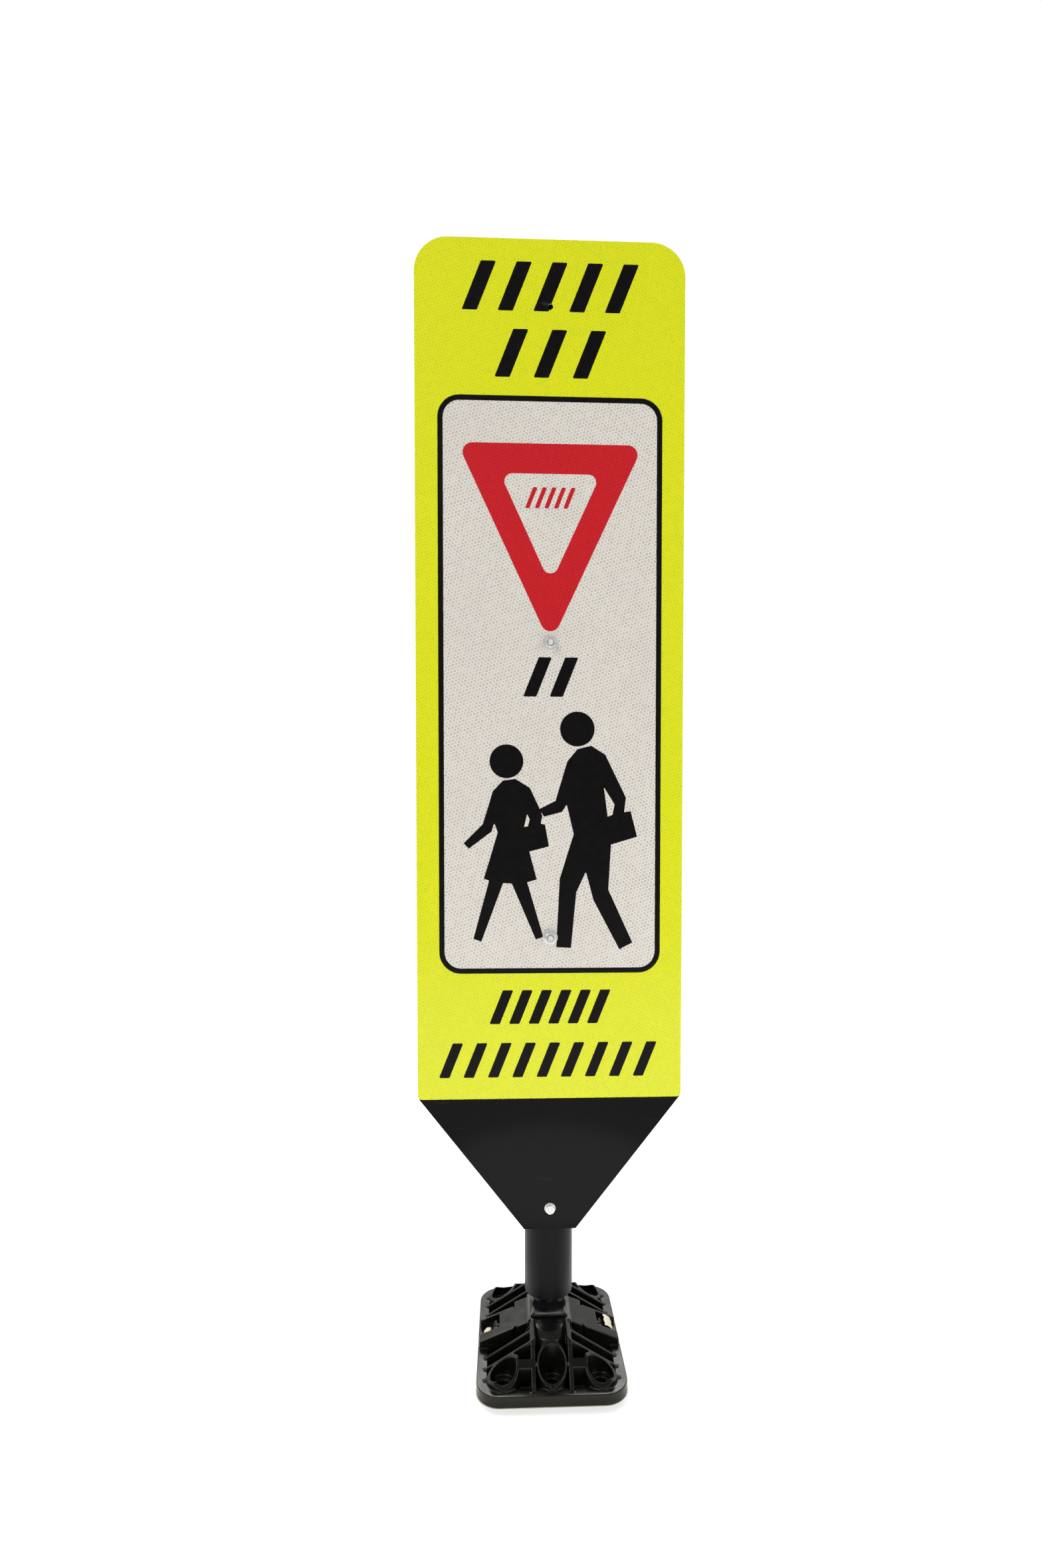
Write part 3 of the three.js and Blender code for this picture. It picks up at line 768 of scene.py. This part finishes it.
def box_outline(half, top, bottom, corner):
    return rounded(down([(-half, top), (-half, bottom), (half, bottom), (half, top)]), corner * MM, 12)


def triangle(half, top, tip, corner):
    return rounded(down([(-half, top), (0, tip), (half, top)]), corner * MM, 12)


def bar_row(name, top, bottom, left, right, count, stroke, layer, material, lean=0.4):
    """A row of slanted bars, in the place of one line of words."""
    shift = lean * (bottom - top)
    pitch = (right - left - shift - stroke) / (count - 1)
    for index in range(count):
        x = left + index * pitch
        corners = [(x, bottom), (x + stroke, bottom), (x + stroke + shift, top), (x + shift, top)]
        bar = printed(f"{name}_{index + 1}", [rounded(down(corners), 1.2 * MM, 3)], layer, material)
        low, high = (f(v.co.x for v in bar.data.vertices) for f in (min, max))
        if low < 0 < high and SHEET_TOP - bottom * MM < SPARE_HOLE_Z < SHEET_TOP - top * MM:
            cut(bar, prism("tear", [torn_outline()], SHEET_FRONT - 1 * MM, SHEET_FRONT, material))


def bolt_gaps(top, bottom):
    """The holes that a film between two distances down leaves for the bolts."""
    return [circle(0, z, 4 * MM, 32) for z in BOLT_Z.values()
            if SHEET_TOP - bottom * MM < z < SHEET_TOP - top * MM]


def crossing_symbol():
    """A generic adult and child walking, each with a bag."""
    adult = [(31, 568), (47, 564), (63, 574), (87, 623), (85, 640), (92.5, 638.5), (100, 668),
             (70, 677), (67, 729), (95, 790), (80, 798), (50, 741), (41, 708), (30, 732), (24, 796),
             (7, 795), (11, 716), (27, 665), (19, 631), (13.5, 639.5), (-7, 645), (-13, 636.5),
             (6, 627), (19.5, 582)]
    adult_gap = [(61.5, 611), (74, 631), (71.5, 643), (66, 645)]
    child = [(-54, 604), (-40, 602), (-23.5, 612), (-13, 634), (-9, 644), (-11, 653), (-6, 654),
             (-1.5, 679), (-24, 685), (-15.5, 717), (-26.5, 720), (-8, 783), (-16.5, 786),
             (-44, 721.5), (-54, 721), (-79, 788), (-88, 785), (-70, 718), (-76, 716), (-60, 663),
             (-64, 652), (-67, 662), (-93, 681.5), (-99, 675.5), (-77, 653.5), (-65.5, 616)]
    child_gap = [(-26.5, 642), (-23.5, 648), (-25.5, 656), (-30, 657)]
    for name, body, gap, layer in (("symbol_adult", adult, adult_gap, 1),
                                   ("symbol_child", child, child_gap, 2)):
        outlines = [rounded(down(body), 0.6 * MM, 2), rounded(down(gap), 0.3 * MM, 2)]
        printed(name, outlines, layer, BLACK_INK)
    for name, x, d, radius in (("symbol_adult_head", 31, 545, 19.8), ("symbol_child_head", -50, 582, 19.2)):
        printed(name, [circle(x * MM, SHEET_TOP - d * MM, radius * MM, 64)], 1, BLACK_INK)


def sign_print():
    """Everything printed on the sheeting. Lines of words are rows of plain slanted bars."""
    outer, inner = (127, 172.5, 825, 25), (121, 178.5, 819, 19)
    printed("white_field", [box_outline(123, 176.5, 821, 21), *bolt_gaps(176.5, 821)], 0, WHITE)
    printed("border_line", [box_outline(*outer), box_outline(*inner)], 1, BLACK_INK)
    printed("red_triangle", [triangle(105.2, 225, 449.5, 11), triangle(57, 258.5, 382, 9)], 1, RED)
    bar_row("bars_small", 273.5, 297, -28.8, 28.8, 5, 5, 1, RED)
    bar_row("bars_top", 25, 79, -99.6, 99.6, 5, 17, 0, BLACK_INK)
    bar_row("bars_second", 99, 152, -63, 63, 3, 17, 0, BLACK_INK)
    bar_row("bars_middle", 464, 508.5, -31, 32, 2, 15, 1, BLACK_INK)
    bar_row("bars_fourth", 844.5, 883.5, -70, 70, 6, 12, 0, BLACK_INK)
    bar_row("bars_last", 905.5, 945.5, -128, 124, 9, 12, 0, BLACK_INK)
    crossing_symbol()


# --------------------------------------------------------------------- fasteners

HEX_TURN = 20


def hex_solid(name, flats, front, back, z, chamfer_front, chamfer_back, inner):
    """A zinc hexagon along Y whose ends may be turned to a cone, as on a nut or a bolt head.

    inner lists (radius, along) from the back round to the front: a bore, or points that close an
    end at radius 0."""
    sides, steps = 72, 5
    face = flats / 2 * 0.98
    reach = flats / math.sqrt(3)
    drop = (reach - face) * 0.6
    places = [front + drop * step / steps for step in range(steps + 1)] if chamfer_front else [front]
    places += [back - drop * (steps - step) / steps for step in range(steps + 1)] if chamfer_back else [back]
    bm = bmesh.new()
    rings = []
    for along in places:
        cone = reach
        if chamfer_front:
            cone = min(cone, face + (reach - face) * (along - front) / drop)
        if chamfer_back:
            cone = min(cone, face + (reach - face) * (back - along) / drop)
        ring = []
        for side in range(sides):
            angle = 2 * math.pi * side / sides
            radius = min(cone, flats / 2 / math.cos((angle % (math.pi / 3)) - math.pi / 6))
            turned = angle + math.radians(HEX_TURN)
            ring.append(bm.verts.new((radius * math.cos(turned), along, z + radius * math.sin(turned))))
        rings.append(ring)
    for radius, along in inner:
        if radius == 0:
            rings.append([bm.verts.new((0, along, z))] * sides)
            continue
        turns = [2 * math.pi * side / sides + math.radians(HEX_TURN) for side in range(sides)]
        rings.append([bm.verts.new((radius * math.cos(t), along, z + radius * math.sin(t))) for t in turns])
    for index, low in enumerate(rings):
        high = rings[(index + 1) % len(rings)]
        for side in range(sides):
            corners = []
            for vert in (low[side - 1], low[side], high[side], high[side - 1]):
                if vert not in corners:
                    corners.append(vert)
            if len(corners) > 2:
                bm.faces.new(corners)
    return finish_mesh(name, bm, ZINC, 25)


def threaded_rod(name, radius, front, back, z):
    """A screw thread along Y with a dished point at its front end."""
    pitch, depth, sides = 1.27 * MM, 0.55 * MM, 36
    steps = max(8, round((back - front) / pitch * 6))
    bm = bmesh.new()
    rings = []
    for step in range(steps + 1):
        along = front + (back - front) * step / steps
        lead = min(1.0, (along - front) / pitch)
        ring = []
        for side in range(sides):
            angle = 2 * math.pi * side / sides
            phase = ((along - front) / pitch + side / sides) % 1.0
            tooth = 1 - abs(2 * phase - 1)
            r = radius - depth * (1 - tooth) - 0.6 * MM * (1 - lead)
            ring.append(bm.verts.new((r * math.cos(angle), along, z + r * math.sin(angle))))
        rings.append(ring)
    for low, high in zip(rings, rings[1:]):
        for side in range(sides):
            bm.faces.new((low[side - 1], low[side], high[side], high[side - 1]))
    dish_r, dish_depth = radius - 1.5 * MM, 1.5 * MM
    turns = [2 * math.pi * side / sides for side in range(sides)]
    inner = [bm.verts.new((dish_r * math.cos(t), front, z + dish_r * math.sin(t))) for t in turns]
    dish = bm.verts.new((0, front + dish_depth, z))
    end = bm.verts.new((0, back, z))
    for side in range(sides):
        bm.faces.new((rings[0][side - 1], rings[0][side], inner[side], inner[side - 1]))
        bm.faces.new((inner[side - 1], inner[side], dish))
        bm.faces.new((rings[-1][side - 1], rings[-1][side], end))
    return finish_mesh(name, bm, ZINC, 30)


def ring_washer(name, node):
    """A pressed washer: one edge rounded, the other broken, slightly dished."""
    low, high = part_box(node)
    z, outer, inner = (low.z + high.z) / 2, high.x, HOLE_R
    front, back = low.y, high.y
    edge = 0.45 * MM
    profile = [(inner, front + 0.1 * MM), (inner + 0.3 * MM, front),
               (outer - edge - 1.2 * MM, front + 0.05 * MM), (outer - edge, front + 0.25 * MM),
               (outer - 0.12 * MM, front + edge + 0.1 * MM),
               (outer, back - 0.35 * MM), (outer - 0.2 * MM, back), (inner, back)]
    return lathe(name, [(r, -a) for r, a in profile], ZINC, 72, "Y", (0, 0, z), 25)


def dress(piece, node):
    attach(piece, "post")
    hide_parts(node)


def fasteners():
    for place, z in BOLT_Z.items():
        dress(ring_washer(f"face_washer_{place}", f"front_washer_{place}"), f"front_washer_{place}")
        dress(ring_washer(f"rear_washer_{place}", f"back_washer_{place}"), f"back_washer_{place}")
        low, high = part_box(f"panel_nut_{place}")
        nut = hex_solid(f"hex_nut_{place}", 11.1 * MM, low.y, high.y, z, True, True,
                        [(4.1 * MM, high.y), (HOLE_R, high.y - 0.5 * MM), (HOLE_R, low.y + 0.6 * MM),
                         (4.2 * MM, low.y)])
        dress(nut, f"panel_nut_{place}")
        bolt_low, bolt_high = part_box(f"panel_bolt_{place}")
        head_front = bolt_high.y - 4.3 * MM
        bolt = threaded_rod(f"hex_bolt_{place}", 3.175 * MM, bolt_low.y, head_front + 0.5 * MM, z)
        head = hex_solid("head", 11.1 * MM, head_front, bolt_high.y, z, False, True,
                         [(0, bolt_high.y), (0, head_front)])
        merge(bolt, head)
        dress(bolt, f"panel_bolt_{place}")


def washer_head_screw():
    """The screw at the panel's foot: a flange, a dished hexagon and its shank."""
    low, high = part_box("foot_screw")
    flange_back = panel_low.y - 0.3 * MM
    flange_front = flange_back - 1.3 * MM
    outer = high.x
    profile = [(0, flange_front - 0.2 * MM), (4 * MM, flange_front - 0.2 * MM),
               (outer - 0.9 * MM, flange_front + 0.2 * MM),
               (outer - 0.15 * MM, flange_front + 0.55 * MM), (outer, flange_back - 0.3 * MM),
               (outer - 0.2 * MM, flange_back), (2.75 * MM, flange_back), (2.75 * MM, high.y - 1.5 * MM),
               (1.2 * MM, high.y), (0, high.y)]
    piece = lathe("flange_screw", [(r, -a) for r, a in profile], ZINC, 72, "Y", (0, 0, SCREW_Z))
    head = hex_solid("head", 9.5 * MM, low.y, flange_front + 0.3 * MM, SCREW_Z, True, False,
                     [(0, flange_front + 0.3 * MM), (0, low.y + 1.3 * MM), (1.8 * MM, low.y + 1 * MM),
                      (2.9 * MM, low.y + 0.1 * MM), (3.3 * MM, low.y)])
    merge(piece, head)
    dress(piece, "foot_screw")


# ------------------------------------------------------------- CAD pieces that stay

def repaint(node, material):
    """Gives a carried-over CAD node its procedural material."""
    node_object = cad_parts[node]
    for slot in node_object.material_slots:
        slot.material = material


# ------------------------------------------------------------------------- stage

# A small lamp makes a round pool of light on the floor in front of the sign, and the black plate
# mirrors it.
POOL_PLACE = (0.040, -0.535)
POOL_R = 0.207
POOL_LIFT = 2.2


def studio_floor():
    """A pale floor just under the base."""
    bm = bmesh.new()
    bmesh.ops.create_circle(bm, cap_ends=True, segments=128, radius=2.6)
    floor = finish_mesh("studio_floor", bm, floor_paint())
    floor.location.z = -0.0002


def surround():
    """A world that the camera sees as white, and that lights the sign more from behind than in front."""
    world = bpy.data.worlds.new("surround")
    bpy.context.scene.world = world
    world.use_nodes = True
    tree = world.node_tree
    tree.nodes.clear()
    out = tree.nodes.new("ShaderNodeOutputWorld")
    lit = tree.nodes.new("ShaderNodeBackground")
    seen = tree.nodes.new("ShaderNodeBackground")
    choose = tree.nodes.new("ShaderNodeMixShader")
    path = tree.nodes.new("ShaderNodeLightPath")
    place = tree.nodes.new("ShaderNodeTexCoord")
    split = tree.nodes.new("ShaderNodeSeparateXYZ")
    fade = tree.nodes.new("ShaderNodeMapRange")
    fade.inputs["From Min"].default_value = -0.7
    fade.inputs["From Max"].default_value = 0.6
    fade.inputs["To Min"].default_value = 0.17
    fade.inputs["To Max"].default_value = 0.95
    seen.inputs["Color"].default_value = (1, 1, 1, 1)
    seen.inputs["Strength"].default_value = 1.05
    links = tree.links
    links.new(place.outputs["Generated"], split.inputs[0])
    links.new(split.outputs["Y"], fade.inputs["Value"])
    links.new(fade.outputs["Result"], lit.inputs["Strength"])
    links.new(path.outputs["Is Camera Ray"], choose.inputs[0])
    links.new(lit.outputs[0], choose.inputs[1])
    links.new(seen.outputs[0], choose.inputs[2])
    links.new(choose.outputs[0], out.inputs["Surface"])


def soft_box(name, place, target, width, height, power):
    """A rectangular lamp at a place, turned to the target."""
    lamp = bpy.data.lights.new(name, "AREA")
    lamp.shape = "RECTANGLE"
    lamp.size, lamp.size_y = width, height
    lamp.energy = power
    holder = bpy.data.objects.new(name, lamp)
    holder.location = place
    holder.rotation_euler = (Vector(target) - Vector(place)).to_track_quat("-Z", "Y").to_euler()
    bpy.context.scene.collection.objects.link(holder)


def pool_lamp():
    """The lamp straight above the pool of light."""
    lamp = bpy.data.lights.new("pool", "SPOT")
    lamp.spot_size = 2 * math.atan(POOL_R / POOL_LIFT)
    lamp.spot_blend = 0.12
    lamp.shadow_soft_size = 0.02
    lamp.energy = 230
    holder = bpy.data.objects.new("pool", lamp)
    holder.location = (*POOL_PLACE, POOL_LIFT)
    bpy.context.scene.collection.objects.link(holder)


def camera():
    """The camera close in front of the sign, a little to its left and level with its middle."""
    data = bpy.data.cameras.new("camera")
    data.sensor_width = 36
    data.lens = 17.10
    data.shift_x = -0.0089
    data.shift_y = 0.0445
    holder = bpy.data.objects.new("camera", data)
    holder.location = (-0.0507, -0.8851, 0.6241)
    holder.rotation_euler = (math.radians(90 - 1.717), 0, math.radians(-2.232))
    bpy.context.scene.collection.objects.link(holder)
    bpy.context.scene.camera = holder


# ---------------------------------------------------------------------- assembly

moulded_base()
locking_pin(-1, "locking_pin_left", "t_pin_left")
locking_pin(1, "locking_pin_right", "t_pin_right")
liner_sheet()
hinge_neck()
post()
tube_cap()
panel_plate()
lime_sheet()
sign_print()
fasteners()
washer_head_screw()
repaint("butyl_pad", BUTYL)
repaint("hinge_foot", URETHANE)
repaint("hinge_plug", URETHANE)
studio_floor()
surround()
soft_box("key", (-1.7, -1.9, 2.4), (0, 0, 0.6), 1.5, 1.5, 35)
soft_box("fill", (2.0, -1.7, 1.5), (0, 0, 0.6), 1.4, 1.4, 22)
soft_box("back", (-0.2, 1.7, 1.9), (0, 0, 0.1), 2.6, 1.1, 56)
pool_lamp()
camera()
bpy.context.scene.view_settings.view_transform = "Standard"
